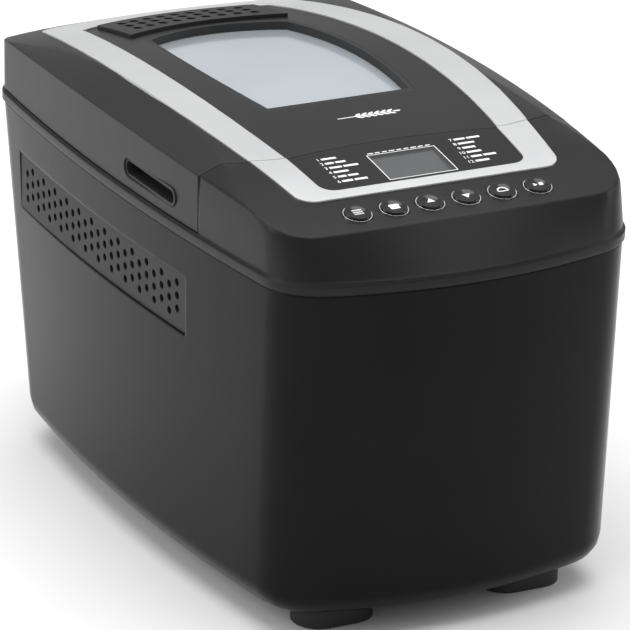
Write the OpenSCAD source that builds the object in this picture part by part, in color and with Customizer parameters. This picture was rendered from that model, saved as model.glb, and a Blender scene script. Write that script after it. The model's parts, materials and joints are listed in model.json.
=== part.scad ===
// Bread machine with a domed, windowed lid, a sloping control panel and a belt-driven kneader.
// Frame: X to the right seen from the front, Y to the rear, Z up, origin under the middle at the floor.

/* [Body] */
// Width over the middle frame
body_w = 214; // [178:1:257]
// Length of the middle frame, front to rear
body_l = 392; // [327:1:470]
// Height of the seam under the middle frame
seam_h = 186; // [155:1:224]
// Bow of the long sides
side_bow = 7.5; // [4:0.5:10]
// Bow of the front
front_bow = 9.8; // [6:0.2:14]
// Bow of the rear
rear_bow = 24; // [16:1:30]
// Radius of the front corners
front_r = 33; // [28:1:38]
// Radius of the rear corners
rear_r = 24; // [22:1:32]
// How much the rear corners' radius grows towards the bottom
rear_round = 20; // [10:1:26]
// Wall of the moulded shells
wall = 2.5; // [2:0.1:3]
// Height of the feet
foot_h = 12; // [10:1:16]
// Radius of the lower edge
edge_r = 14; // [10:1:18]
// How far the sides lean in towards the bottom
side_lean = 2; // [1:0.5:8]
// How far the front leans in towards the bottom
front_lean = 9; // [2:0.5:12]
// How far the rear leans in towards the bottom
rear_lean = 14; // [2:0.5:18]

/* [Middle frame] */
// Height of the middle frame's edge
ring_h = 6.5; // [5:0.5:9]
// How far the frame stands proud of the walls above and below it
ring_proud = 1.2; // [0.8:0.1:2]
// How far the panel housing's front face leans back
hood_back = 21; // [14:1:26]
// Height over which it leans back
hood_rise = 21; // [18:1:25]
// How much tighter its front corners get towards its top edge
hood_tight = 10; // [4:1:14]

/* [Lid] */
// Height of the dome above the middle frame
dome_h = 42; // [38:1:50]
// Radius of the dome along the length
dome_r = 752; // [700:1:900]
// Skin of the lid and the panel housing
skin = 2.2; // [1.8:0.1:2.6]
// Gap between the lid and what it closes against
lid_gap = 0.6; // [0.4:0.1:1]
// Depth of the window glass under the dome
glass_drop = 4.5; // [3:0.5:6]
// Thickness of the glass panes
glass_t = 3; // [2.5:0.5:4]
// Distance from the side of the machine to the window
window_side = 61.5; // [56:0.5:66]
// Angle to which the lid opens
lid_open = 80; // [60:1:85]

/* [Vent grilles] */
// Rear end of the body to the grille
vent_end = 66; // [60:1:90]
// Lid seam to the grille
vent_front = 16; // [10:1:30]
// Holes in a column
vent_rows = 3; // [2:1:3]
// Distance between the columns
vent_pitch = 8.26; // [8:0.01:8.3]
// Distance between the holes in a column
vent_row_pitch = 7; // [6:0.5:7]
// Diameter of a hole
vent_hole_d = 4.2; // [3:0.1:4.5]

/* [Control panel] */
// Diameter of a push button
button_d = 13; // [11:0.2:15]
// Gap between two push buttons
button_gap = 6.9; // [4:0.1:8]
// Front edge to the row of buttons
row_in = 36; // [32:1:42]
// Buttons to the trim
trim_gap = 8.5; // [5:0.5:11]
// Trim to the display
lcd_in = 4; // [2:0.5:6]
// Display to the lid seam
lcd_back = 13; // [11:0.5:18]
// Travel of a push button
button_travel = 0.8; // [0.5:0.1:1]
// Width of the display window
lcd_w = 37; // [30:1:42]
// Depth of the display window
lcd_d = 25; // [18:1:26]

/* [Oven and pan] */
// Gap between the machine's side and the oven chamber
chamber_side = 26; // [24:1:30]
// Gap between the pan and the chamber
pan_gap = 17; // [16:0.5:20]
// Sheet of the pan
pan_wall = 1.5; // [1:0.1:2]
// Sheet of the chamber
sheet = 1; // [0.8:0.1:1.5]
// Corner radius of the pan
pan_r = 28; // [20:1:32]
// Twist that unlocks the pan
pan_twist = 8; // [6:1:8]

/* [Drive] */
// Diameter of the drive shaft and the pan spindle
shaft_d = 8; // [6:0.5:9]
// Running clearance of a shaft in its bush
run_gap = 0.05; // [0.02:0.01:0.08]
// Radius of the large pulley
big_pulley_r = 36; // [30:1:40]
// Radius of the motor pulley
small_pulley_r = 9; // [7:1:12]
// Radius of the motor
motor_r = 33; // [28:1:35]
// Height of the motor
motor_h = 62; // [50:1:70]

/* [Hidden] */

$fn = 32;
far = 600;                      // longer than any cut through the machine
side_n = 14;                    // steps along a bowed side of the plan
corner_n = 5;                   // points between them, round a corner
hinge_r = 6;                    // knuckles of the lid hinge
hinge_pin_r = 2.5;
hinge_gap = 0.5;                // between a knuckle and the lid's rear wall

// Levels, from the floor up
base_z = foot_h;
ring_top = seam_h + ring_h;
dome_top = ring_top + dome_h;
edge_top = dome_top - 9;        // top edge of the side walls, amidships
shoulder_a = 25;                // slope of the shoulder beside the trim
shoulder_r = 1530;              // bow of the shoulder along the length
lid_z = ring_top + lid_gap;

// Stations along Y
half_w = body_w / 2;
total_l = body_l - ring_proud + hinge_gap + 2 * hinge_r;
front_y = -total_l / 2;
rear_y = front_y + body_l;
dome_y = front_y + 200;
dome_cz = dome_top - dome_r;
button_pitch = button_d + button_gap;
rim_w = 0.9;                    // rim round a button
u_w = 7;                        // width of the panel trim at the front
lcd_y0 = button_d / 2 + trim_gap + u_w + lcd_in;
panel_d = row_in + lcd_y0 + lcd_d + lcd_back;
seam_y = front_y + panel_d;
seam_bend = half_w - 45;        // where the seam turns from the middle arc to the side
cowl_in = ring_proud;
cowl_rear = rear_y - cowl_in;
hinge_y = cowl_rear + hinge_gap + hinge_r;
hinge_z = lid_z + hinge_r + 0.4;

// Drive levels, from the base plate up
pulley_z = base_z + 8;
pulley_h = 9;
bracket_z = pulley_z + pulley_h + 2;
bearing_h = 9;
chamber_z = bracket_z + bearing_h;
motor_y = front_y + 33 + motor_r;
motor_z = bracket_z + 1.5;
side_x = (motor_r + half_w - 10) / 2;           // middle of the space beside the motor

// Oven and pan
chamber_w = body_w - 2 * chamber_side;
chamber_y0 = seam_y + 36;
chamber_y1 = rear_y - 45;
chamber_l = chamber_y1 - chamber_y0;
oven_y = (chamber_y0 + chamber_y1) / 2;
chamber_r = pan_r + pan_gap - 6;
pan_w = chamber_w - 2 * pan_gap;
pan_l = chamber_l - 2 * pan_gap + 4;
pan_z = chamber_z + 24;
pan_top = seam_h - 16;
bail_r = 2.25;
bail_reach = pan_w / 2 - 14;
bail_x = pan_w / 2 + 5;
bail_z = pan_top - 8;
shaft_r = shaft_d / 2;
bush_r = shaft_r + 5;
coupler_r = 13;
coupler_z = chamber_z + 4;      // foot of the lower coupler
dog_z = coupler_z + 6;          // where its dogs start
dog_h = 5;
socket_r = 31.6;
rest_gap = 0.3;                 // between pieces that rest on each other but can part

// ---------------------------------------------------------------- outlines

function spow(v, e) = sign(v) * pow(abs(v), e);

// One bowed side of the plan, pushed out by the corner radii at its two ends
function bowed_side(p0, p1, r0, r1, bow) = let (d = p1 - p0, out = [d.y, -d.x] / norm(d))
  [for (i = [0:side_n]) let (
      t = i / side_n,
      p = p0 + t * d + 4 * t * (1 - t) * bow * out,
      g = d + 4 * (1 - 2 * t) * bow * out)
    p + (r0 + (r1 - r0) * t) * [g.y, -g.x] / norm(g)];

// Corner arc between the end of one side and the start of the next
function corner(c, r, a0, a1) = [for (i = [1:corner_n]) let (a = a0 + (a1 - a0) * i / (corner_n + 1))
  c + r * [cos(a), sin(a)]];
function end_lean(p0, p1, bow) = atan(4 * bow / norm(p1 - p0));

// Plan of the machine: a rectangle with bowed sides and rounded corners, drawn in by inset all
// round and by side, front and rear on those faces
function plan(inset = 0, side = 0, front = 0, rear = 0, bow = front_bow, round = 0,
    tight = 0) = let (
    fc = front_r - tight,
    rf = fc - inset,
    rc = rear_r + round,
    rr = rc - inset,
    yf = front_y + bow + fc + front,
    yr = rear_y - rear_bow - rc - rear,
    xf = half_w - side_bow - fc - side,
    xr = half_w - side_bow - rc - side,
    a = [xf, yf], b = [xr, yr], c = [-xr, yr], d = [-xf, yf],
    s = end_lean(a, b, side_bow), r = end_lean(b, c, rear_bow), f = end_lean(d, a, bow))
  concat(
    bowed_side(a, b, rf, rr, side_bow), corner(b, rr, s, 90 - r),
    bowed_side(b, c, rr, rr, rear_bow), corner(c, rr, 90 + r, 180 - s),
    bowed_side(c, d, rr, rf, side_bow), corner(d, rf, 180 + s, 270 - f),
    bowed_side(d, a, rf, rf, bow), corner(a, rf, 270 + f, 360 - s));

// Half width of the plan at a station between its corners
function plan_x(y, inset, side) = let (
    yf = front_y + front_bow + front_r,
    yr = rear_y - rear_bow - rear_r,
    t = max(0, min(1, (y - yf) / (yr - yf))))
  half_w - inset - side - side_bow * (1 - 4 * t * (1 - t));

function rounded(w, l, r, n = 6) = [for (k = [0:3], i = [0:n]) let (
    a = 90 * k + 90 * i / n,
    sx = (k == 0 || k == 3) ? 1 : -1,
    sy = k < 2 ? 1 : -1)
  [sx * (w / 2 - r) + r * cos(a), sy * (l / 2 - r) + r * sin(a)]];

// Line of the seam between the lid and the control panel
function seam_at(x) = seam_y - 5 * pow(min(1, abs(x) / seam_bend), 2)
  + 8 * max(0, (min(abs(x), half_w) - seam_bend) / (half_w - 2 - seam_bend));

function seam_line(shift) = [for (i = [-16:16]) let (x = i * (half_w + 10) / 16)
  [x, seam_at(x) + shift]];

function mirrored(right) = concat(right, [for (i = [len(right) - 1:-1:0]) [-right[i].x, right[i].y]]);

// Bowed sides closed by an arched rear edge; w is the half width at the middle station
function bowed(w, bow, mid, y0, y1, rear, sag, n = 10) = let (
    x1 = w - bow * pow((y1 - mid) / 100, 2))
  concat([for (i = [0:n]) let (y = y0 + (y1 - y0) * i / n) [w - bow * pow((y - mid) / 100, 2), y]],
    [for (i = [1:n - 1]) let (t = 1 - i / n) [x1 * t, rear - sag * t * t]]);

window_mid = seam_y + 122;
window_front = seam_y + 54;
window_rear = rear_y - 85;
function window(grow) = mirrored(bowed(half_w - window_side + grow, 12, window_mid,
  window_front - grow, window_rear - 15 + grow, window_rear + grow, 15));

trim_w = 20;
trim_out = half_w - 21;
function trim_outer() = mirrored(bowed(trim_out, 6.5, dome_y + 10, seam_y - 20,
  rear_y - 32, rear_y - 9, 20));
function trim_inner() = mirrored(bowed(trim_out - trim_w, 5.5, dome_y + 5, seam_y - 20,
  rear_y - 49, rear_y - 29, 20));

// U-shaped trim round the control panel overlay
u_front = front_y + row_in + button_d / 2 + trim_gap;
u_x = half_w - 28;
function u_shape(x, y, lean, r) = mirrored(concat(
  [[x, seam_y + 10], [x - lean, y + r]],
  [for (a = [0:-18:-90]) [x - lean - r + r * cos(a), y + r + r * sin(a)]],
  [[0, y]]));
function u_outer() = u_shape(u_x, u_front, 6, 10);
function u_inner() = u_shape(u_x - 19, u_front + u_w, 3, 8);

function pad_edge(x, shift, sag, w) = [x, rear_y - 80 + shift - sag * pow(x / w, 2)];
slot_pitch = 8.6;
vent_half = trim_out - trim_w - 20;
slot_n = floor((vent_half - 7) / slot_pitch);    // steam slots on each side of the middle one
function pad(w, y0, y1) = concat(
  [for (i = [-8:8]) pad_edge(w * i / 8, y0, 12, vent_half)],
  [for (i = [8:-1:-8]) pad_edge(w * i / 8, y1, 12, vent_half)]);

// ---------------------------------------------------------------- shared solids

module prism(points, z0, z1) translate([0, 0, z0]) linear_extrude(z1 - z0) polygon(points);

// Everything under the dome, offset outwards by off
module under_dome(off) translate([-far / 2, dome_y, dome_cz]) rotate([0, 90, 0])
  cylinder(r = dome_r + off, h = far, $fn = 360);

module under_shoulder(off) translate([half_w - 3, dome_y, edge_top])
  rotate([0, shoulder_a, 0]) translate([-far / 2, 0, -shoulder_r]) rotate([0, 90, 0])
    cylinder(r = shoulder_r + off, h = far, $fn = 720);

// Lid outline as a solid, offset outwards by off
module cowl(off, z0) intersection() {
  prism(plan(cowl_in - off), z0, dome_top + 5);
  under_dome(off);
  under_shoulder(off);
  mirror([1, 0, 0]) under_shoulder(off);
}

// A closed solid through levels of equal length, lowest first
module stack(levels) {
  n = len(levels[0]);
  m = len(levels);
  polyhedron(
    points = [for (l = levels, p = l) p],
    faces = concat(
      [for (j = [0:m - 2], i = [0:n - 1], h = [0, 1]) let (
          k = (i + 1) % n, low = j * n, high = low + n)
        h == 0 ? [low + i, high + i, high + k] : [low + i, high + k, low + k]],
      [[for (i = [0:n - 1]) i]],
      [[for (i = [n - 1:-1:0]) (m - 1) * n + i]]),
    convexity = 4);
}

// Panel housing: its front face leans back and loses its bow towards the top edge
function hood_level(z, off) = let (t = max(0, min(1.4, (z - ring_top) / hood_rise)))
  [for (p = plan(cowl_in - off, 0, hood_back * t, 0, front_bow * max(0.02, 1 - t), 0, hood_tight * min(1, t)))
    [p.x, p.y, z]];
module hood(off, z0) intersection() {
  stack(concat([hood_level(z0, off)],
    [for (t = [0, 0.25, 0.5, 0.75, 1, 1.4]) hood_level(ring_top + t * hood_rise, off)],
    [hood_level(dome_top + 5, off)]));
  under_dome(off);
  under_shoulder(off);
  mirror([1, 0, 0]) under_shoulder(off);
}

module ahead_of_seam(shift) prism(concat([[half_w + 10, front_y - 20], [-half_w - 10, front_y - 20]],
  seam_line(shift)), 0, dome_top + 10);
module behind_seam(shift) prism(concat([[half_w + 10, rear_y + 20], [-half_w - 10, rear_y + 20]],
  seam_line(shift)), 0, dome_top + 10);

// A sheet of the given outline between two depths under the dome
module dome_sheet(points, low, high) difference() {
  intersection() {
    prism(points, ring_top, dome_top + 10);
    under_dome(high);
  }
  under_dome(low);
}

// Cuts away what lies above a depth under the dome, inside an outline
module above_dome(points, low) difference() {
  prism(points, ring_top + 6, dome_top + 10);
  under_dome(low);
}

// Local frame on the panel surface, at the row of buttons
row_y = front_y + row_in;
row_z = dome_cz + sqrt(pow(dome_r, 2) - pow(row_y - dome_y, 2));
row_a = asin((dome_y - row_y) / dome_r);
module on_panel() translate([0, row_y, row_z]) rotate([row_a, 0, 0]) children();
module at_button(i) translate([(i - 2.5) * button_pitch, 0, 0]) children();

// ---------------------------------------------------------------- body

// One level of the tapered, round-edged body
function body_level(z, inset) = let (
    k = (seam_h - z) / (seam_h - base_z),
    e = max(0, 1 - (z - base_z) / edge_r),
    round_in = edge_r * (1 - sqrt(1 - e * e)))
  [for (p = plan(ring_proud + inset + round_in, side_lean * k, front_lean * k, rear_lean * k,
    front_bow, rear_round * k))
    [p.x, p.y, z]];

// A closed tube through rings of equal length; the last ring joins the first
module ring_tube(rings) {
  n = len(rings[0]);
  m = len(rings);
  polyhedron(
    points = [for (r = rings, p = r) p],
    faces = [for (j = [0:m - 1], i = [0:n - 1], h = [0, 1]) let (
        a = j * n + i, b = ((j + 1) % m) * n + i,
        c = ((j + 1) % m) * n + (i + 1) % n, d = j * n + (i + 1) % n)
      h == 0 ? [a, b, c] : [a, c, d]],
    convexity = 6);
}

edge_levels = [for (a = [0:22.5:90]) base_z + edge_r * (1 - cos(a))];
vent_y0 = seam_y + vent_front;
vent_columns = floor((rear_y - vent_end - vent_y0 - 20) / vent_pitch) + 1;
vent_z1 = seam_h - 20.5;
vent_l = (vent_columns - 1) * vent_pitch + 20;
vent_h = vent_rows * vent_row_pitch + 10;
vent_gap = 0.2;

module vent_window(side) mirror([side, 0, 0]) translate([half_w - 24, vent_y0, vent_z1 - vent_h])
  cube([30, vent_l, vent_h]);

gland_z = 36;
gland_r = 7;

module body_shell() color("#2b2b2d") difference() {
  ring_tube(concat(
    [for (z = edge_levels) body_level(z, 0)],
    [body_level(seam_h, 0), body_level(seam_h, wall)],
    [for (z = [edge_levels[4], edge_levels[2], edge_levels[0]]) body_level(z, wall)]));
  vent_window(0);
  vent_window(1);
  translate([0, rear_y - 30, gland_z]) rotate([-90, 0, 0]) cylinder(r = gland_r, h = 40);
}

// The grille follows the body's bow and lean, set back from its face
vent_set = 0.8;
function vent_face(z, inset) = let (k = (seam_h - z) / (seam_h - base_z))
  [for (i = [0:12]) let (y = vent_y0 + vent_gap + (vent_l - 2 * vent_gap) * i / 12)
    [plan_x(y, ring_proud + inset, side_lean * k), y, z]];
function vent_ring(z) = concat(vent_face(z, vent_set), [for (i = [12:-1:0]) vent_face(z, wall + 1)[i]]);

module slab(low, high) {
  n = len(low);
  h = n / 2;
  polyhedron(
    points = concat(low, high),
    faces = concat(
      [for (i = [0:n - 1], t = [0, 1]) let (j = (i + 1) % n)
        t == 0 ? [i, n + i, n + j] : [i, n + j, j]],
      [for (i = [0:h - 2]) [i, i + 1, n - 2 - i, n - 1 - i]],
      [for (i = [0:h - 2]) [n + n - 1 - i, n + n - 2 - i, n + i + 1, n + i]]),
    convexity = 4);
}

module vent_grille(side) color("#262627") mirror([side, 0, 0]) difference() {
  slab(vent_ring(vent_z1 - vent_h + vent_gap), vent_ring(vent_z1 - vent_gap));
  for (c = [0:vent_columns - 1], r = [0:vent_rows - 1])
    translate([half_w - 30, vent_y0 + 10 + c * vent_pitch,
        vent_z1 - 6 - (r + (c % 2 == 0 ? 0 : 0.5)) * vent_row_pitch])
      rotate([0, 90, 0]) cylinder(d = vent_hole_d, h = 40, $fn = 16);
}
module vent_grille_left() vent_grille(1);
module vent_grille_right() vent_grille(0);

foot_x = half_w - 54;
foot_w = 42;
foot_l = 28;
function foot_y(rear) = rear ? rear_y - 72 : front_y + 50;

base_t = 2.5;
base_in = ring_proud + edge_r + wall + 0.4;
module base_plate() color("#1d1d1e") difference() {
  prism(plan(base_in, side_lean, front_lean, rear_lean, front_bow, rear_round), base_z, base_z + base_t);
  for (i = [-4:4], s = [-1, 1]) translate([i * 12, oven_y + s * 62, base_z - 1])
    linear_extrude(base_t + 2) polygon(rounded(5, 30, 2.4));
  for (x = [-1, 1], r = [false, true])
    translate([x * foot_x, foot_y(r), base_z - 1]) cylinder(d = 3.6, h = base_t + 2);
}

module foot(x, rear) color("#19191a") translate([x * foot_x, foot_y(rear), 0]) difference() {
  union() {
    linear_extrude(foot_h) polygon(rounded(foot_w, foot_l, 13));
    translate([0, 0, foot_h]) cylinder(d = 3.6, h = base_t);
  }
  translate([0, 0, -1]) cylinder(d = 7.2, h = 4);
}
module foot_front_left() foot(-1, false);
module foot_front_right() foot(1, false);
module foot_rear_left() foot(-1, true);
module foot_rear_right() foot(1, true);

// Flat-headed screws seated in counterbores under the feet
module base_screws() color("silver") for (x = [-1, 1], r = [false, true])
  translate([x * foot_x, foot_y(r), 0.8]) cylinder(d = 6.6, h = 2.2);

// Its flange lies just outside the leaning rear wall
gland_y = rear_y - ring_proud + 0.1
  - rear_lean * (seam_h - gland_z - gland_r - 3) / (seam_h - base_z);
module cord_gland() color("#161617") translate([0, gland_y, gland_z])
  rotate([-90, 0, 0]) difference() {
    union() {
      translate([0, 0, -12]) cylinder(r = gland_r, h = 13);
      cylinder(r = gland_r + 3, h = 3);
    }
    translate([0, 0, -14]) cylinder(r = 3.6, h = 20);
  }

// ---------------------------------------------------------------- middle frame and panel

bay_w = body_w - 52;
bay_y0 = front_y + 30;
bay_y1 = seam_y - 14;
ring_soft = 0.8;
clip = 0.4;

module ring_plate() {
  prism(plan(ring_soft), seam_h, seam_h + 1);
  prism(plan(0), seam_h + 1, ring_top - 1);
  prism(plan(ring_soft), ring_top - 1, ring_top);
}

module ear(x, w) translate([x, hinge_y, hinge_z]) rotate([0, 90, 0]) cylinder(r = hinge_r, h = w);

ear_in = 26;
ear_w = 7;
knuckle_in = 13;
knuckle_w = ear_in - knuckle_in - clip;

module top_frame() color("#232325") difference() {
  union() {
    ring_plate();
    difference() {
      intersection() {
        hood(0, ring_top - 0.5);
        ahead_of_seam(-lid_gap / 2);
      }
      intersection() {
        hood(-skin, ring_top - 1);
        ahead_of_seam(-lid_gap / 2 - skin);
      }
    }
    on_panel() at_posts() translate([0, 0, board_z + 1.6]) cylinder(d = 7, h = -board_z - 3.6);
    for (s = [0, 1]) mirror([s, 0, 0]) {
      ear(ear_in, ear_w);
      translate([ear_in, rear_y - 12, seam_h]) cube([ear_w, hinge_y - rear_y + 12, ring_h]);
      translate([ear_in, hinge_y - hinge_r + 2, seam_h + 1]) cube([ear_w, hinge_r + 2, hinge_z - seam_h - 1]);
    }
  }
  prism([for (p = rounded(chamber_w + 1, chamber_l + 1, chamber_r)) p + [0, oven_y]],
    seam_h - 1, ring_top + 1);
  prism([for (p = rounded(bay_w, bay_y1 - bay_y0, 12)) p + [0, (bay_y0 + bay_y1) / 2]],
    seam_h - 1, ring_top + 1);
  above_dome(u_outer(), -1.2);
  on_panel() {
    for (i = [0:5]) at_button(i) translate([0, 0, -8]) cylinder(d = button_d + 2 * rim_w, h = 20);
    translate([-lcd_w / 2, lcd_y0, -8]) cube([lcd_w, lcd_d, 20]);
  }
  at_chamber_screws() translate([0, 0, seam_h - 1]) cylinder(d = 3, h = 5);
  translate([-far / 2, hinge_y, hinge_z]) rotate([0, 90, 0]) cylinder(r = hinge_pin_r, h = far);
}

module panel_trim() color("#b9bbbd") intersection() {
  ahead_of_seam(-lid_gap / 2);
  difference() {
    dome_sheet(u_outer(), -1.2, 0.8);
    prism(u_inner(), ring_top, dome_top + 10);
  }
}

module panel_overlay() color("#141416") intersection() {
  ahead_of_seam(-lid_gap / 2);
  difference() {
    dome_sheet(u_inner(), -1.2, 0.1);
    on_panel() translate([-lcd_w / 2, lcd_y0, -8]) cube([lcd_w, lcd_d, 20]);
  }
}

module lcd_lens() color("#7f868a") intersection() {
  dome_sheet(u_inner(), -1.2, 0.1);
  on_panel() translate([-lcd_w / 2, lcd_y0, -8]) cube([lcd_w, lcd_d, 20]);
}

board_z = -15;
post_x = 2.5 * button_pitch + 6.25;
module at_posts() for (x = [-post_x, post_x], y = [-4, lcd_y0 + lcd_d - 3]) translate([x, y, 0]) children();
module lcd_module() color("#4a5055") on_panel()
  translate([-lcd_w / 2 + 1, lcd_y0 + 1, board_z + 1.6]) cube([lcd_w - 2, lcd_d - 2, -board_z - 4.8]);

// A slightly dished cap on a stem that reaches down to its switch
module button(i) color("#101012") on_panel() at_button(i) {
  difference() {
    translate([0, 0, -2.5]) cylinder(d = button_d, h = 4.1);
    translate([0, 0, 31.2]) sphere(r = 30, $fn = 64);
  }
  translate([0, 0, -9.2]) cylinder(d = 6, h = 6.9);
}
module menu_button() button(0);
module loaf_button() button(1);
module time_up_button() button(2);
module time_down_button() button(3);
module crust_button() button(4);
module start_button() button(5);

module button_rings() color("#a8aaad") on_panel() for (i = [0:5]) at_button(i) difference() {
  translate([0, 0, -2.2]) cylinder(d = button_d + 2 * rim_w, h = 2.7);
  translate([0, 0, -4]) cylinder(d = button_d + 0.6, h = 8);
}

module control_board() color("#2f5d3a") on_panel() difference() {
  translate([-post_x - 6, -9, board_z]) cube([2 * post_x + 12, lcd_y0 + lcd_d + 11, 1.6]);
  at_posts() translate([0, 0, board_z - 1]) cylinder(d = 3.2, h = 4);
}

// Each switch stands one travel clear of its button's stem
module tact_switches() color("#3c3c3e") on_panel() for (i = [0:5]) at_button(i) {
  translate([-3, -3, board_z + 1.6]) cube([6, 6, 2.4]);
  translate([0, 0, board_z + 4]) cylinder(d = 3.4, h = -9.2 - button_travel - 0.05 - board_z - 4);
}

// ---------------------------------------------------------------- lid

grip_l = 58;
grip_h = 10;
grip_z = lid_z + 10.5;
grip_y = seam_y + 54;
grip_depth = 8;
grip_face = half_w - cowl_in - 0.8;
function grip_outline(grow) = [for (p = rounded(grip_h + 2 * grow, grip_l + 2 * grow,
  grip_h / 2 + grow - 0.1)) p];

// Slot along the side wall; local x is up
module grip_bar(grow, x0, x1) translate([x0, grip_y, grip_z]) rotate([0, 90, 0]) mirror([1, 0, 0])
  linear_extrude(x1 - x0) polygon(grip_outline(grow));

vent_open_y0 = 8;
vent_open_y1 = 40;

module lid_shell() color("#252527") difference() {
  union() {
    difference() {
      intersection() {
        cowl(0, lid_z);
        behind_seam(lid_gap / 2);
      }
      intersection() {
        cowl(-skin, lid_z - 1);
        behind_seam(lid_gap / 2 + skin);
      }
    }
    intersection() {
      cowl(-skin / 2, liner_z + liner_t);
      at_lid_screws() cylinder(r = 4, h = dome_top);
    }
    for (s = [0, 1]) mirror([s, 0, 0]) {
      ear(knuckle_in, knuckle_w);
      translate([knuckle_in, cowl_rear - 6, hinge_z - 2]) cube([knuckle_w, hinge_y - cowl_rear + 6, 7]);
    }
  }
  prism(window(2.5), ring_top + 12, dome_top + 10);
  prism(pad(vent_half - 5, vent_open_y0, vent_open_y1), ring_top + 6, dome_top + 10);
  difference() {
    above_dome(trim_outer(), -1.2);
    prism(trim_inner(), ring_top, dome_top + 20);
  }
  for (s = [0, 1]) mirror([s, 0, 0]) grip_bar(0, half_w - 14, half_w + 5);
  at_lid_screws() translate([0, 0, lid_z]) cylinder(d = 3, h = screw_l + liner_z - lid_z);
  translate([-far / 2, hinge_y, hinge_z]) rotate([0, 90, 0])
    cylinder(r = hinge_pin_r + run_gap, h = far);
}

module lid_trim() color("#b9bbbd") intersection() {
  behind_seam(lid_gap / 2);
  difference() {
    dome_sheet(trim_outer(), -1.2, 0.8);
    prism(trim_inner(), ring_top, dome_top + 10);
  }
}

liner_z = lid_z + 0.4;
liner_t = 1;
module window_bezel() color("#1b1b1d") intersection() {
  under_dome(0);
  difference() {
    prism(window(2.5), liner_z + liner_t + glass_t, dome_top + 5);
    prism(window(0), liner_z, dome_top + 10);
  }
}

module outer_glass() color([0.75, 0.78, 0.78, 0.5])
  dome_sheet(window(0), -glass_drop - glass_t, -glass_drop);

module inner_glass() color([0.75, 0.8, 0.8, 0.4])
  prism(window(8), liner_z + liner_t, liner_z + liner_t + glass_t);

module glass_gasket() color("#8a3b2c") difference() {
  prism(window(10), liner_z + liner_t, liner_z + liner_t + glass_t);
  prism(window(8), liner_z, dome_top);
}

module lid_liner() color("#9c9ea0") difference() {
  intersection() {
    prism(plan(cowl_in + skin + 1), liner_z, liner_z + liner_t);
    behind_seam(lid_gap / 2 + skin + 1);
  }
  prism(window(-4), liner_z - 1, liner_z + liner_t + 1);
  for (i = [-slot_n:slot_n]) let (p = pad_edge(i * slot_pitch, 24, 12, vent_half))
    translate([p.x, p.y, liner_z - 1])
    cylinder(d = 5, h = 4);
  at_lid_screws() translate([0, 0, liner_z - 1]) cylinder(d = 6, h = 4);
}

// Raised pad with three arched rows of steam slots
module steam_vent() color("#1a1a1b") difference() {
  union() {
    dome_sheet(pad(vent_half, 3, 45), 0, 2);
    dome_sheet(pad(vent_half - 5.2, vent_open_y0 + 0.2, vent_open_y1 - 0.2), -skin - 2, 1);
  }
  for (r = [0:2], i = [-slot_n:slot_n]) let (p = pad_edge(i * slot_pitch, 14 + r * 10, 12, vent_half))
    translate([p.x, p.y, ring_top]) linear_extrude(60) polygon(rounded(4.6, 7, 2.2, 3));
}

// Cup set in the slot of the lid's skirt
module grip_cup(side) color("#202022") mirror([side, 0, 0]) difference() {
  grip_bar(-0.1, grip_face - grip_depth - 1.5, grip_face);
  grip_bar(-1.6, grip_face - grip_depth, half_w + 5);
}
module grip_left() grip_cup(1);
module grip_right() grip_cup(0);

module hinge_pin() color("silver") translate([-ear_in - ear_w, hinge_y, hinge_z]) rotate([0, 90, 0])
  cylinder(r = hinge_pin_r, h = 2 * (ear_in + ear_w));

// Screws up through the liner into the lid's bosses, heads flush
screw_l = 9;
module at_lid_screws() for (s = [-1, 1], y = [seam_y + 24, oven_y, rear_y - 58])
  translate([s * (plan_x(y, 0, 0) - 16), y, 0]) children();
module lid_screws() color("silver") at_lid_screws() translate([0, 0, liner_z]) {
  cylinder(d = 6, h = liner_t);
  cylinder(d = 3, h = screw_l);
}

// ---------------------------------------------------------------- oven

module tub(w, l, r, z0, z1, t) difference() {
  prism([for (p = rounded(w, l, r)) p + [0, oven_y]], z0, z1);
  prism([for (p = rounded(w - 2 * t, l - 2 * t, r - t)) p + [0, oven_y]], z0 + t, z1 + 1);
}
module on_axis(z) translate([0, oven_y, z]) children();

element_w = chamber_w - 16;
element_l = chamber_l - 16;
element_z = chamber_z + 16;
rod_r = 3;
element_r = 30;

module oven_chamber() color("#8f9193") difference() {
  union() {
    tub(chamber_w, chamber_l, chamber_r, chamber_z, seam_h, sheet);
    difference() {
      prism([for (p = rounded(chamber_w + 16, chamber_l + 16, chamber_r + 8)) p + [0, oven_y]],
        seam_h - sheet, seam_h);
      prism([for (p = rounded(chamber_w - 1, chamber_l - 1, chamber_r)) p + [0, oven_y]],
        seam_h - 5, seam_h + 1);
    }
  }
  on_axis(chamber_z - 1) cylinder(r = shaft_r + 2, h = 4);
  for (s = [-1, 1]) translate([s * 14, chamber_y0 - 5, element_z]) rotate([-90, 0, 0])
    cylinder(r = rod_r, h = 12);
  translate([40, chamber_y0 - 5, chamber_z + 60]) rotate([-90, 0, 0]) cylinder(r = 3, h = 12);
  at_chamber_screws() translate([0, 0, seam_h - 5]) cylinder(d = 3, h = 8);
}

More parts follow.
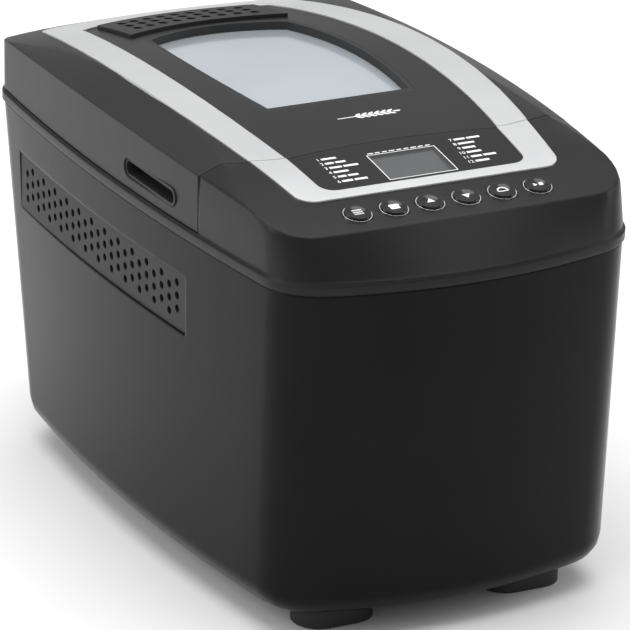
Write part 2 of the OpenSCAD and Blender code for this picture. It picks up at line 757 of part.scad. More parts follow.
// Tubular heater: a rounded loop with two ends out through the front wall
module heating_element() color("#5a5550") {
  x = element_w / 2;
  y = element_l / 2;
  on_axis(element_z) {
    for (s = [0, 1]) mirror([s, 0, 0]) {
      translate([x, -y + element_r, 0]) rotate([-90, 0, 0])
        cylinder(r = rod_r, h = element_l - 2 * element_r);
      translate([x - element_r, y - element_r, 0]) rotate_extrude(angle = 90)
        translate([element_r, 0]) circle(rod_r);
      translate([x - element_r, -y + element_r, 0]) rotate([0, 0, -90]) rotate_extrude(angle = 90)
        translate([element_r, 0]) circle(rod_r);
      translate([14 + 8, -y, 0]) rotate([0, 90, 0]) cylinder(r = rod_r, h = x - element_r - 22);
      translate([22, -y - 8, 0]) rotate([0, 0, 90]) rotate_extrude(angle = 90)
        translate([8, 0]) circle(rod_r);
      translate([14, -y - 8 - 14, 0]) rotate([-90, 0, 0]) cylinder(r = rod_r, h = 14);
    }
    translate([-x + element_r, y, 0]) rotate([0, 90, 0]) cylinder(r = rod_r, h = 2 * (x - element_r));
  }
}

module temperature_sensor() color("#b0b2b4") translate([40, chamber_y0 - 14, chamber_z + 60])
  rotate([-90, 0, 0]) {
    cylinder(r = 3, h = 24);
    cylinder(r = 5.5, h = 14);
  }

lug_a = 3;
hook_a = 4.5;
module wedge(r, a, z, h) translate([0, 0, z]) linear_extrude(h)
  polygon([[0, 0], [r * cos(a), -r * sin(a)], [r * cos(a), r * sin(a)]]);

// Bayonet socket: a ring on the chamber floor with four inward hooks
module pan_socket() color("#a0a2a4") on_axis(chamber_z + sheet) {
  difference() {
    cylinder(r = socket_r + 6, h = 12);
    translate([0, 0, -1]) cylinder(r = socket_r + 2.6, h = 20);
  }
  for (k = [0:3]) rotate([0, 0, 90 * k + 45]) intersection() {
    difference() {
      translate([0, 0, 9.6]) cylinder(r = socket_r + 3, h = 2.4);
      cylinder(r = socket_r, h = 20);
    }
    wedge(60, hook_a, 5, 12);
  }
}

// ---------------------------------------------------------------- pan and kneader

module bread_pan() color("#57585a") difference() {
  union() {
    tub(pan_w, pan_l, pan_r, pan_z, pan_top, pan_wall);
    difference() {
      prism([for (p = rounded(pan_w + 4, pan_l + 4, pan_r + 2)) p + [0, oven_y]], pan_top - 1.5, pan_top);
      prism([for (p = rounded(pan_w - 1, pan_l - 1, pan_r)) p + [0, oven_y]], pan_top - 3, pan_top + 1);
    }
  }
  on_axis(pan_z - 1) cylinder(r = bush_r, h = 6);
  translate([-far / 2, oven_y, bail_z]) rotate([0, 90, 0]) cylinder(r = bail_r + 0.3, h = far);
}

module pan_foot() color("#77787a") on_axis(0) {
  difference() {
    translate([0, 0, chamber_z + sheet + rest_gap]) cylinder(r = socket_r - 1.2,
      h = pan_z - chamber_z - sheet - rest_gap);
    translate([0, 0, chamber_z]) cylinder(r = socket_r - 4, h = 40);
  }
  for (k = [0:3]) rotate([0, 0, 90 * k + 45]) intersection() {
    difference() {
      translate([0, 0, chamber_z + sheet + 6]) cylinder(r = socket_r + 1.8, h = 3);
      cylinder(r = socket_r - 2.5, h = far);
    }
    wedge(60, lug_a, chamber_z, 20);
  }
}

module pan_bush() color("#b08d57") on_axis(pan_z - 3) difference() {
  cylinder(r = bush_r, h = 13);
  translate([0, 0, -1]) cylinder(r = shaft_r + run_gap, h = 20);
}

// Wire bail: pivots through the long walls, arms forward, bar across above the rim
module pan_handle() color("#c8c9cb") {
  lift = pan_top + 4.5 - bail_z;
  arm = norm([bail_reach, lift]);
  tilt = atan(lift / bail_reach);
  translate([0, oven_y, bail_z]) rotate([-tilt, 0, 0]) {
    for (s = [0, 1]) mirror([s, 0, 0]) {
      translate([pan_w / 2 - pan_wall - 3, 0, 0]) rotate([0, 90, 0]) cylinder(r = bail_r, h = pan_wall + 8);
      translate([bail_x, 0, 0]) sphere(r = bail_r);
      translate([bail_x, -arm, 0]) rotate([-90, 0, 0]) cylinder(r = bail_r, h = arm);
      translate([bail_x, -arm, 0]) sphere(r = bail_r);
    }
    translate([-bail_x, -arm, 0]) rotate([0, 90, 0]) cylinder(r = bail_r, h = 2 * bail_x);
    translate([-32, -arm, 0]) rotate([0, 90, 0]) cylinder(r = bail_r + 1.2, h = 64);
  }
}

spindle_z0 = dog_z + dog_h + 0.5;
spindle_top = pan_z + 32;
module spindle() color("#c4c6c8") on_axis(spindle_z0) cylinder(r = shaft_r, h = spindle_top - spindle_z0);

// Two dogs on a disc; the pair above sits a quarter turn from the pair below
module coupler(z_disc, z_dog, turn) on_axis(0) {
  difference() {
    translate([0, 0, z_disc]) cylinder(r = coupler_r, h = 4.5);
    translate([0, 0, z_disc - 1]) cylinder(r = shaft_r, h = 10);
  }
  intersection() {
    difference() {
      translate([0, 0, z_dog]) cylinder(r = coupler_r - 0.5, h = dog_h);
      translate([0, 0, z_dog - 1]) cylinder(r = shaft_r + 1, h = dog_h + 2);
    }
    rotate([0, 0, turn]) translate([-20, -2.5, z_dog]) cube([40, 5, dog_h]);
  }
}
module spindle_coupler() color("#8b8d90") coupler(spindle_z0, spindle_z0 - dog_h, 90);

module kneading_paddle() color("#3b3c3e") on_axis(pan_z + 10.4) difference() {
  union() {
    cylinder(r = shaft_r + 4.5, h = 26);
    translate([0, -3.5, 0]) cube([34, 7, 9]);
    translate([6, -3.5, 0]) linear_extrude(24) polygon([[0, 0], [28, 0], [26, 7], [0, 7]]);
  }
  translate([0, 0, -1]) cylinder(r = shaft_r, h = spindle_top - pan_z - 10.4 + 1);
}

// ---------------------------------------------------------------- drive

shaft_z0 = pulley_z - 2;
module drive_shaft() color("#c4c6c8") on_axis(shaft_z0) cylinder(r = shaft_r, h = dog_z - shaft_z0 - 1);

module drive_coupler() color("#8b8d90") coupler(dog_z - 4.5, dog_z, 0);

module pulley(r, bore, h) difference() {
  union() {
    cylinder(r = r + 1.6, h = 1.5);
    cylinder(r = r, h = h);
    translate([0, 0, h - 1.5]) cylinder(r = r + 1.6, h = 1.5);
  }
  translate([0, 0, -1]) cylinder(r = bore, h = h + 2);
}

module large_pulley() color("#d8d4c6") on_axis(pulley_z) difference() {
  pulley(big_pulley_r, shaft_r, pulley_h);
  for (k = [0:4]) rotate([0, 0, 72 * k]) translate([big_pulley_r * 0.58, 0, -1]) cylinder(r = 7, h = 20);
}

// Flat belt round both pulleys, clear of them by a running gap
belt_gap = 0.5;
belt_t = 1.8;
span = oven_y - motor_y;
belt_lean = asin((big_pulley_r - small_pulley_r) / span);
function belt_line(off) = concat(
  [for (i = [0:30]) let (a = -belt_lean + (180 + 2 * belt_lean) * i / 30)
    [0, oven_y] + (big_pulley_r + off) * [cos(a), sin(a)]],
  [for (i = [0:12]) let (a = 180 + belt_lean + (180 - 2 * belt_lean) * i / 12)
    [0, motor_y] + (small_pulley_r + off) * [cos(a), sin(a)]]);
module drive_belt() color("#19191a") difference() {
  prism(belt_line(belt_gap + belt_t), pulley_z + 2, pulley_z + pulley_h - 2);
  prism(belt_line(belt_gap), pulley_z, pulley_z + pulley_h);
}

motor_shaft_r = 3;
module motor() color("#77797c") translate([0, motor_y, motor_z]) difference() {
  union() {
    cylinder(r = motor_r, h = motor_h);
    translate([0, 0, motor_h]) cylinder(r = 10, h = 5);
  }
  translate([0, 0, -1]) cylinder(r = motor_shaft_r + run_gap, h = 30);
}

module motor_pulley() color("#b7b9bb") translate([0, motor_y, pulley_z]) {
  pulley(small_pulley_r, motor_shaft_r - 1, pulley_h);
  translate([0, 0, -1]) cylinder(r = motor_shaft_r, h = motor_z - pulley_z + 26);
}

// Sheet bracket that carries the motor and the lower bearing
leg_r = 4;
leg_x = big_pulley_r + 2;
module drive_bracket() color("#9a9c9e") difference() {
  union() {
    translate([-leg_x - 5, motor_y - leg_x - 5, bracket_z])
      cube([2 * leg_x + 10, oven_y - motor_y + 2 * leg_x + 10, 1.5]);
    for (x = [-leg_x, leg_x], y = [motor_y - leg_x, oven_y + leg_x])
      translate([x, y, base_z + base_t]) cylinder(r = leg_r, h = bracket_z - base_z - base_t);
  }
  on_axis(bracket_z - 1) cylinder(r = bush_r, h = 4);
  translate([0, motor_y, bracket_z - 1]) cylinder(r = motor_shaft_r + 2, h = 4);
}

module bearing_housing() color("#6d6f72") on_axis(bracket_z) difference() {
  union() {
    cylinder(r = bush_r, h = chamber_z - bracket_z);
    translate([0, 0, 1.5]) cylinder(r = bush_r + 10, h = chamber_z - bracket_z - 1.5);
  }
  translate([0, 0, -1]) cylinder(r = shaft_r + run_gap, h = 40);
}

module capacitor() color("#cfd1d3") translate([side_x, motor_y - 8, base_z + base_t + 14])
  rotate([-90, 0, 0]) cylinder(r = 14, h = 46);

board_x = -side_x;
board_y = motor_y + 16;
module power_board() color("#3a6b46") {
  difference() {
    translate([board_x - 18, board_y - 36, base_z + base_t + 8]) cube([36, 72, 1.6]);
    for (x = [-14, 14], y = [-32, 32]) translate([board_x + x, board_y + y, base_z]) cylinder(d = 3, h = 20);
  }
  for (x = [-14, 14], y = [-32, 32]) translate([board_x + x, board_y + y, base_z + base_t]) difference() {
    cylinder(d = 6, h = 8);
    translate([0, 0, -1]) cylinder(d = 3, h = 20);
  }
  translate([board_x - 12, board_y - 20, base_z + base_t + 9.6]) cube([16, 20, 14]);
  translate([board_x - 6, board_y + 12, base_z + base_t + 9.6]) cube([12, 12, 9]);
}

module at_chamber_screws() for (s = [-1, 1], y = [chamber_y0 + 45, oven_y, chamber_y1 - 45])
  translate([s * (chamber_w / 2 + 4), y, 0]) children();
module chamber_screws() color("silver") at_chamber_screws() {
  translate([0, 0, seam_h - sheet - 1.8]) cylinder(d = 5, h = 1.8);
  translate([0, 0, seam_h - sheet - 0.5]) cylinder(d = 3, h = sheet + 4.5);
}

body_shell();
vent_grille_left();
vent_grille_right();
base_plate();
foot_front_left();
foot_front_right();
foot_rear_left();
foot_rear_right();
base_screws();
cord_gland();
top_frame();
panel_overlay();
panel_trim();
lcd_lens();
lcd_module();
menu_button();
loaf_button();
time_up_button();
time_down_button();
crust_button();
start_button();
button_rings();
control_board();
tact_switches();
lid_shell();
lid_trim();
window_bezel();
outer_glass();
inner_glass();
glass_gasket();
steam_vent();
lid_liner();
grip_left();
grip_right();
hinge_pin();
lid_screws();
oven_chamber();
heating_element();
temperature_sensor();
pan_socket();
bread_pan();
pan_foot();
pan_bush();
pan_handle();
spindle();
spindle_coupler();
kneading_paddle();
drive_shaft();
drive_coupler();
large_pulley();
drive_belt();
motor();
motor_pulley();
drive_bracket();
bearing_housing();
capacitor();
power_board();
chamber_screws();
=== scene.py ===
# %% [markdown]
# # A bread machine with a domed, windowed lid
# The machine is a tall black box on four rubber feet. Its lid is a dome hinged at the rear, with an arched
# window, and the control panel slopes down in front of it. The moving parts come from the CAD frame, and
# this lesson gives them their finish: moulded skins without facets, marks on the panel, glass and light.

# %% Load the frame
import json
import math

import bmesh
import bpy
import numpy as np
from mathutils import Matrix, Vector

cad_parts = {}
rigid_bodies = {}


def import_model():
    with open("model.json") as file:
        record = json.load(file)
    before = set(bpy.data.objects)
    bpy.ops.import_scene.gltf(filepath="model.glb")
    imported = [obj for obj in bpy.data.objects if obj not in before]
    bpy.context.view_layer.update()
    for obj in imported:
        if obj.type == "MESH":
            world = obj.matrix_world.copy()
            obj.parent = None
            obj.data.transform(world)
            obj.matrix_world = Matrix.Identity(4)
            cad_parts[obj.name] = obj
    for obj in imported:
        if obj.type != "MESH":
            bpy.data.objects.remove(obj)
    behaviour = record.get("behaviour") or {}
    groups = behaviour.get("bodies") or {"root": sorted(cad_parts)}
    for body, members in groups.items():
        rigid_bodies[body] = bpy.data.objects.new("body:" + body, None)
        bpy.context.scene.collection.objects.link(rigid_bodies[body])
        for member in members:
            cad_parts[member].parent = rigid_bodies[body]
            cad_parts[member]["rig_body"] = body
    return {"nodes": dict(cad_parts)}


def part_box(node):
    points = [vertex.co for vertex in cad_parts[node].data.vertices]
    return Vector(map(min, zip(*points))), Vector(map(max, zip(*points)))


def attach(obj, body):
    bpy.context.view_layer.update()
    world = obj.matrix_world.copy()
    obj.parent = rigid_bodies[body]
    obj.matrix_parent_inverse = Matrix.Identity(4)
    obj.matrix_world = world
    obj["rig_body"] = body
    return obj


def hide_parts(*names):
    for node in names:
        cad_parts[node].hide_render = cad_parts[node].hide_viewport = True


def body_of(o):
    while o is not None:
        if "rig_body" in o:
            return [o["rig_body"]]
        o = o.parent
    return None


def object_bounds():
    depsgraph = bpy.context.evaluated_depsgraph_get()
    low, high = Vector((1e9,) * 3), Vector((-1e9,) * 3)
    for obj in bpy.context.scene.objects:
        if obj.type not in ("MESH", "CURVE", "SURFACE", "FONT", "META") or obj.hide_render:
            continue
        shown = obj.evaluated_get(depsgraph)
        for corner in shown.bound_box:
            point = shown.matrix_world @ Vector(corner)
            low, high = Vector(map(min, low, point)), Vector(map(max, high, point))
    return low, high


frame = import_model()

cad_box = [list(v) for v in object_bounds()]
MM = 0.001
print("CAD box in mm:", [[round(c * 1000, 1) for c in v] for v in cad_box])

# %% [markdown]
# ## The two surfaces everything lies on
# The lid and the panel share one large cylinder that runs across the machine: a radius of 752 mm makes the
# gentle arch of the dome. The buttons stand on a flat that touches that arch near the front edge. Marks
# are laid out flat in millimetres and then dropped on one of these two surfaces, as a printer would pad-print
# them, so that nothing floats.

# %% The dome and the row of buttons
lid_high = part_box("lid_shell")[1]
DOME_R = 752 * MM
DOME_TOP = lid_high[2]
DOME_Y = cad_box[0][1] + 200 * MM
ROW_Y = cad_box[0][1] + 36 * MM
ROW_A = math.asin((DOME_Y - ROW_Y) / DOME_R)
ROW_Z = DOME_TOP - DOME_R * (1 - math.cos(ROW_A))


def on_dome(p):
    """A flat point (x, y, height) in metres, laid on the dome."""
    return Vector((p.x, p.y, DOME_TOP - DOME_R + math.sqrt(DOME_R ** 2 - (p.y - DOME_Y) ** 2) + p.z))


def on_row(p):
    """A point measured from the middle of the button row, square to the panel."""
    c, s = math.cos(ROW_A), math.sin(ROW_A)
    return Vector((p.x, ROW_Y + p.y * c - p.z * s, ROW_Z + p.y * s + p.z * c))


def panel_y(up):
    """Station on the dome of a mark this many metres above the button row."""
    return ROW_Y + up * math.cos(ROW_A)


print("panel slope", round(math.degrees(ROW_A), 1), "degrees, button row at y", round(ROW_Y * 1000, 1), "mm")

# %% [markdown]
# ## Moulded plastic is never one flat colour
# An injection-moulded shell has a fine grain from the mould, a little variation where the plastic flowed,
# and edges that are slightly rounded because a mould can't hold a sharp corner. One function mixes these
# three: large soft noise in the colour, fine noise in the roughness and the relief, and a small rounding
# of the edges in the normal.

# %% A finish from colour, roughness and grain
def finish(name, dark, light, rough, grain=0.02, scale=900.0, metal=0.0, coat=0.0, edge=0.0, streak=None,
           transmission=0.0, alpha=1.0, film=0.0, spec=0.5, cloud=14.0):
    mat = bpy.data.materials.new(name)
    mat.use_nodes = True
    nodes, links = mat.node_tree.nodes, mat.node_tree.links
    skin = nodes["Principled BSDF"]
    skin.inputs["Metallic"].default_value = metal
    skin.inputs["Coat Weight"].default_value = coat
    skin.inputs["Coat Roughness"].default_value = 0.08
    skin.inputs["Transmission Weight"].default_value = transmission
    skin.inputs["Alpha"].default_value = alpha
    skin.inputs["Specular IOR Level"].default_value = spec
    if film:
        skin.inputs["Thin Film Thickness"].default_value = film
        skin.inputs["Thin Film IOR"].default_value = 1.4
    where = nodes.new("ShaderNodeTexCoord")
    stretch = nodes.new("ShaderNodeMapping")
    stretch.inputs["Scale"].default_value = streak or (1, 1, 1)
    links.new(where.outputs["Object"], stretch.inputs["Vector"])
    soft = nodes.new("ShaderNodeTexNoise")
    soft.inputs["Scale"].default_value = cloud
    soft.inputs["Detail"].default_value = 3
    fine = nodes.new("ShaderNodeTexNoise")
    fine.inputs["Scale"].default_value = scale
    fine.inputs["Detail"].default_value = 4
    ramp = nodes.new("ShaderNodeValToRGB")
    ramp.color_ramp.elements[0].position, ramp.color_ramp.elements[1].position = 0.3, 0.7
    ramp.color_ramp.elements[0].color = (*dark, 1)
    ramp.color_ramp.elements[1].color = (*light, 1)
    gloss = nodes.new("ShaderNodeMapRange")
    gloss.inputs["To Min"].default_value = rough * 0.88
    gloss.inputs["To Max"].default_value = min(1, rough * 1.12)
    bump = nodes.new("ShaderNodeBump")
    bump.inputs["Strength"].default_value = grain
    bump.inputs["Distance"].default_value = 0.0002
    for noise in (soft, fine):
        links.new(stretch.outputs["Vector"], noise.inputs["Vector"])
    links.new(soft.outputs["Fac"], ramp.inputs["Fac"])
    links.new(ramp.outputs["Color"], skin.inputs["Base Color"])
    links.new(fine.outputs["Fac"], gloss.inputs["Value"])
    links.new(gloss.outputs["Result"], skin.inputs["Roughness"])
    links.new(fine.outputs["Fac"], bump.inputs["Height"])
    if edge:
        rounding = nodes.new("ShaderNodeBevel")
        rounding.samples = 6
        rounding.inputs["Radius"].default_value = edge
        links.new(rounding.outputs["Normal"], bump.inputs["Normal"])
    links.new(bump.outputs["Normal"], skin.inputs["Normal"])
    return mat


LOOKS = {}


def add_look(name, *values, **more):
    LOOKS[name] = finish(name, *values, **more)


# %% [markdown]
# ## The finishes of the outside
# The body is high-gloss ABS, dyed black in the mass. The lid is the same plastic with a satin texture,
# because a gloss lid would show every fingerprint. The trims are painted silver over plastic: a satin paint
# with a fine metallic flake.

# %% Outside finishes
add_look("black_gloss", (0.0035, 0.0035, 0.004), (0.0055, 0.0055, 0.006), 0.2, 0.012, 700,
         edge=2.2 * MM, spec=0.1)
add_look("black_semi", (0.0065, 0.0065, 0.007), (0.009, 0.009, 0.0095), 0.34, 0.03, 1100,
         edge=2.2 * MM, spec=0.22)
add_look("black_satin", (0.010, 0.010, 0.0115), (0.014, 0.014, 0.0155), 0.4, 0.05, 1500,
         edge=1.4 * MM, spec=0.26)
add_look("black_matte", (0.012, 0.012, 0.012), (0.018, 0.018, 0.018), 0.55, 0.08, 1800,
         edge=0.4 * MM, spec=0.35)
add_look("overlay_gloss", (0.007, 0.007, 0.0075), (0.010, 0.010, 0.0105), 0.3, 0.01, 900,
         spec=0.25)
add_look("satin_silver", (0.60, 0.605, 0.61), (0.68, 0.685, 0.69), 0.34, 0.05, 2600,
         metal=0.55, edge=0.5 * MM)
add_look("bright_ring", (0.72, 0.72, 0.73), (0.80, 0.80, 0.81), 0.16, 0.01, 1500, metal=1.0,
         edge=0.2 * MM)
add_look("button_gloss", (0.006, 0.006, 0.0065), (0.009, 0.009, 0.0095), 0.12, 0.008, 1200,
         coat=0.15, edge=0.7 * MM, spec=0.3)
add_look("foot_rubber", (0.012, 0.012, 0.012), (0.024, 0.024, 0.024), 0.75, 0.15, 1400)
add_look("seal_rubber", (0.28, 0.05, 0.03), (0.36, 0.07, 0.04), 0.7, 0.1, 1400)

# %% [markdown]
# ## Glass with a painted reflection
# The window is a double pane. Its outer pane is half-metallic, with a thin film that gives a faint shift of
# colour and some real reflection; its pale silver-blue base colour is painted reflection, standing in for the
# bright surroundings mirrored in the glass, and it hides the pan below. The panes inside stay clear.

# %% Glass and display finishes
# Outer pane: the pale silver-blue base colour is painted reflection of the bright surroundings.
add_look("window_glass", (0.46, 0.52, 0.555), (0.56, 0.60, 0.63), 0.18, 0.004, 300,
         metal=0.35, coat=0.5, film=420.0, cloud=9.0)
add_look("inner_glass", (0.80, 0.84, 0.84), (0.86, 0.89, 0.89), 0.05, 0.004, 300,
         transmission=0.85, coat=0.2)
add_look("lens_clear", (0.12, 0.125, 0.128), (0.16, 0.165, 0.168), 0.14, 0.004, 600,
         alpha=0.35, coat=0.1, spec=0.3)
add_look("lcd_grey", (0.15, 0.157, 0.16), (0.20, 0.207, 0.21), 0.35, 0.01, 900, cloud=40.0)
add_look("panel_ink", (0.78, 0.78, 0.78), (0.86, 0.86, 0.86), 0.5, 0.03, 2500, cloud=120.0)

# %% [markdown]
# ## The finishes of the inside
# The oven is thin steel sheet, the pan pressed aluminium with a dark non-stick coat, and its foot cast
# metal with a sand-like skin. Rolled sheet is brushed along its length, so its noise is stretched one way.

# %% Inside finishes
add_look("chamber_steel", (0.46, 0.46, 0.46), (0.56, 0.56, 0.55), 0.36, 0.06, 260, metal=1.0,
         streak=(1, 1, 14))
add_look("liner_aluminium", (0.60, 0.60, 0.60), (0.70, 0.70, 0.70), 0.34, 0.05, 260,
         metal=1.0, streak=(14, 1, 1))
add_look("element_steel", (0.13, 0.115, 0.10), (0.24, 0.21, 0.18), 0.45, 0.12, 900, metal=0.8,
         cloud=60.0)
add_look("cast_metal", (0.45, 0.45, 0.46), (0.56, 0.56, 0.57), 0.5, 0.5, 1300, metal=0.9)
add_look("pan_coat", (0.05, 0.05, 0.053), (0.075, 0.075, 0.08), 0.38, 0.12, 1700, metal=0.3)
add_look("bush_brass", (0.60, 0.40, 0.16), (0.70, 0.50, 0.24), 0.3, 0.06, 900, metal=1.0)
add_look("pulley_plastic", (0.64, 0.60, 0.52), (0.72, 0.68, 0.60), 0.45, 0.04, 1200)
add_look("belt_rubber", (0.014, 0.014, 0.014), (0.026, 0.026, 0.026), 0.7, 0.2, 1500)
add_look("motor_steel", (0.26, 0.27, 0.28), (0.34, 0.35, 0.36), 0.4, 0.08, 700, metal=0.7)
add_look("capacitor_plastic", (0.60, 0.60, 0.58), (0.68, 0.68, 0.66), 0.4, 0.03, 1200)
add_look("board_green", (0.015, 0.11, 0.04), (0.03, 0.17, 0.07), 0.35, 0.08, 1300, cloud=90.0)
add_look("screw_steel", (0.48, 0.48, 0.48), (0.60, 0.60, 0.60), 0.3, 0.05, 900, metal=1.0)
print(len(LOOKS), "finishes")

# %% [markdown]
# ## Which part has which finish
# The table follows how such a machine is bought in: one supplier moulds the black parts, another the
# bright ones, and the drive and heater come ready-made.

# %% The table of finishes
PARTS = {
    "black_gloss": "body_shell",
    "black_semi": "top_frame",
    "black_satin": "lid_shell",
    "black_matte": "vent_grille_left vent_grille_right base_plate cord_gland window_bezel steam_vent "
                   "grip_left grip_right bearing_housing",
    "foot_rubber": "foot_front_left foot_front_right foot_rear_left foot_rear_right",
    "screw_steel": "base_screws lid_screws chamber_screws hinge_pin spindle drive_shaft",
    "overlay_gloss": "panel_overlay",
    "satin_silver": "panel_trim lid_trim",
    "lens_clear": "lcd_lens",
    "lcd_grey": "lcd_module",
    "bright_ring": "button_rings",
    "button_gloss": "menu_button loaf_button time_up_button time_down_button crust_button start_button "
                    "tact_switches",
    "board_green": "control_board power_board",
    "window_glass": "outer_glass",
    "inner_glass": "inner_glass",
    "seal_rubber": "glass_gasket",
    "liner_aluminium": "lid_liner",
    "chamber_steel": "oven_chamber drive_bracket temperature_sensor pan_handle",
    "element_steel": "heating_element",
    "cast_metal": "pan_socket pan_foot spindle_coupler drive_coupler",
    "pan_coat": "bread_pan kneading_paddle",
    "bush_brass": "pan_bush",
    "pulley_plastic": "large_pulley motor_pulley",
    "belt_rubber": "drive_belt",
    "motor_steel": "motor",
    "capacitor_plastic": "capacitor",
}
for look, names in PARTS.items():
    for node in names.split():
        thing = frame["nodes"][node]
        thing.data.materials.clear()
        thing.data.materials.append(LOOKS[look])
LOOK_OF = {node: look for look, names in PARTS.items() for node in names.split()}
print("nodes without a finish:", sorted(set(frame["nodes"]) - set(LOOK_OF)))

# %% [markdown]
# ## Skins without facets
# A moulded shell is smooth, but the frame brings it as loose flat triangles. Each outer shell is copied and
# its loose corners are merged. Then every corner gets a normal averaged over the neighbours that meet it at
# less than a crease angle, weighted by their area, so that broad faces stay flat and only bends are rounded.

# %% Copy a node as one smooth skin
def smooth_normals(me, crease):
    loops, faces = len(me.loops), len(me.polygons)
    vert, normal, area = np.empty(loops, int), np.empty(faces * 3), np.empty(faces)
    me.loops.foreach_get("vertex_index", vert)
    me.polygons.foreach_get("normal", normal)
    me.polygons.foreach_get("area", area)
    normal = normal.reshape(-1, 3)
    sides = np.empty(faces, int)
    me.polygons.foreach_get("loop_total", sides)
    face = np.repeat(np.arange(faces), sides)
    order = np.argsort(vert, kind="stable")
    cuts = np.flatnonzero(np.diff(vert[order])) + 1
    out = np.empty((loops, 3))
    limit = math.cos(math.radians(crease))
    for group in np.split(order, cuts):
        n, w = normal[face[group]], area[face[group]]
        near = (n @ n.T) > limit
        out[group] = near @ (n * w[:, None])
    length = np.linalg.norm(out, axis=1)
    flat = length < 1e-12
    out[flat] = normal[face[flat]]
    out /= np.linalg.norm(out, axis=1)[:, None] + 1e-20
    me.polygons.foreach_set("use_smooth", [True] * faces)
    me.normals_split_custom_set(out.tolist())


def add_piece(name, bm, body, look):
    me = bpy.data.meshes.new(name)
    bm.to_mesh(me)
    bm.free()
    ob = bpy.data.objects.new(name, me)
    bpy.context.scene.collection.objects.link(ob)
    me.materials.append(LOOKS[look])
    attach(ob, body)
    return ob


def skin(node, crease=26):
    source = frame["nodes"][node]
    bm = bmesh.new()
    bm.from_mesh(source.data)
    bmesh.ops.transform(bm, matrix=source.matrix_world, verts=bm.verts)
    bmesh.ops.remove_doubles(bm, verts=bm.verts, dist=1e-5)
    bmesh.ops.dissolve_degenerate(bm, dist=1e-6, edges=bm.edges)
    ob = add_piece(node + "_skin", bm, body_of(source)[0], LOOK_OF[node])
    smooth_normals(ob.data, crease)
    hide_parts(node)
    return ob


SKINS = ("body_shell top_frame lid_shell lid_trim panel_trim panel_overlay window_bezel outer_glass "
         "steam_vent grip_left grip_right vent_grille_left vent_grille_right foot_front_left "
         "foot_front_right foot_rear_left foot_rear_right cord_gland button_rings menu_button "
         "loaf_button time_up_button time_down_button crust_button start_button lid_liner "
         "oven_chamber bread_pan pan_foot pan_handle kneading_paddle heating_element motor "
         "large_pulley motor_pulley spindle_coupler drive_coupler capacitor").split()
for node in SKINS:
    skin(node)
print(len(SKINS), "smooth skins")

# %% [markdown]
# ## Printed marks
# The programme list, the signs on the buttons and the mark on the lid are pad-printed in white ink. Each is
# a thin closed plate: laid out flat with operators, given the thickness of the ink, and dropped on its
# surface. The list holds plain numbers and short bars, one for each baking programme.

# %% Helpers for flat marks
INK = 0.12 * MM
INK_STEP = 1.5 * MM


def add_bar(bm, x, y, w, h, turn=0.0):
    place = Matrix.Translation((x, y, 0)) @ Matrix.Rotation(turn, 4, "Z") @ Matrix.Diagonal((w, h, 1, 1))
    across, along = (max(1, round(side / INK_STEP)) for side in (w, h))
    bmesh.ops.create_grid(bm, x_segments=across, y_segments=along, size=0.5, matrix=place)


def add_disc(bm, x, y, w, h, sides=20, turn=0.0):
    stretch = Matrix.Diagonal((w / 2, h / 2, 1, 1))
    place = Matrix.Translation((x, y, 0)) @ Matrix.Rotation(turn, 4, "Z") @ stretch
    bmesh.ops.create_circle(bm, cap_ends=True, segments=sides, radius=1, matrix=place)


def add_arc(bm, x, y, r, w, a0, a1, steps=14):
    """Part of a ring: a short bar spun round the centre."""
    edge = bmesh.ops.create_vert(bm, co=(x + r - w / 2, y, 0))["vert"]
    edge += bmesh.ops.create_vert(bm, co=(x + r + w / 2, y, 0))["vert"]
    line = bm.edges.new(edge)
    bmesh.ops.rotate(bm, verts=edge, cent=(x, y, 0), matrix=Matrix.Rotation(a0, 3, "Z"))
    bmesh.ops.spin(bm, geom=edge + [line], cent=(x, y, 0), axis=(0, 0, 1), angle=a1 - a0, steps=steps)


def add_number(bm, text, x, y, height):
    curve = bpy.data.curves.new("number", "FONT")
    curve.body, curve.size, curve.resolution_u = text, height, 3
    curve.align_x = "RIGHT"
    holder = bpy.data.objects.new("number", curve)
    bpy.context.scene.collection.objects.link(holder)
    bpy.context.view_layer.update()
    shape = bpy.data.meshes.new_from_object(holder.evaluated_get(bpy.context.evaluated_depsgraph_get()))
    shape.transform(Matrix.Translation((x, y, 0)))
    bm.from_mesh(shape)
    bpy.data.objects.remove(holder)
    bpy.data.meshes.remove(shape)


def print_mark(name, bm, place, lift, body, look="panel_ink", thick=INK):
    bmesh.ops.remove_doubles(bm, verts=bm.verts, dist=1e-7)
    bmesh.ops.recalc_face_normals(bm, faces=bm.faces)
    for f in bm.faces:
        if f.normal.z < 0:
            f.normal_flip()
    raised = bmesh.ops.extrude_face_region(bm, geom=bm.faces[:])
    up = [v for v in raised["geom"] if isinstance(v, bmesh.types.BMVert)]
    bmesh.ops.translate(bm, verts=up, vec=(0, 0, thick))
    bmesh.ops.translate(bm, verts=bm.verts, vec=(0, 0, lift))
    for v in bm.verts:
        v.co = place(v.co)
    bmesh.ops.recalc_face_normals(bm, faces=bm.faces)
    return add_piece(name, bm, body, look)


# %% The two columns of programmes
lines = bmesh.new()
LINE_LENGTHS = (9.0, 11.0, 16.0, 9.0, 11.0, 14.0, 14.5, 10.0, 8.0, 9.0, 14.0, 8.5)
for k, length in enumerate(LINE_LENGTHS):
    column, row = divmod(k, 6)
    x = (-42.5 if column == 0 else 31.5) * MM
    y = panel_y((55 - 4.75 * row) * MM)
    add_number(lines, str(k + 1), x - 0.9 * MM, y - 1.25 * MM, 3.6 * MM)
    words = (length * 0.42, length * 0.5) if length > 10 else (length * 0.9,)
    at = x
    for w in words:
        add_bar(lines, at + w / 2 * MM, y - 0.1 * MM, w * MM, 1.7 * MM)
        at += (w + 1.0) * MM
programmes = print_mark("programme_list", lines, on_dome, 0.11 * MM, "base")
print("programme list:", len(programmes.data.polygons), "faces")
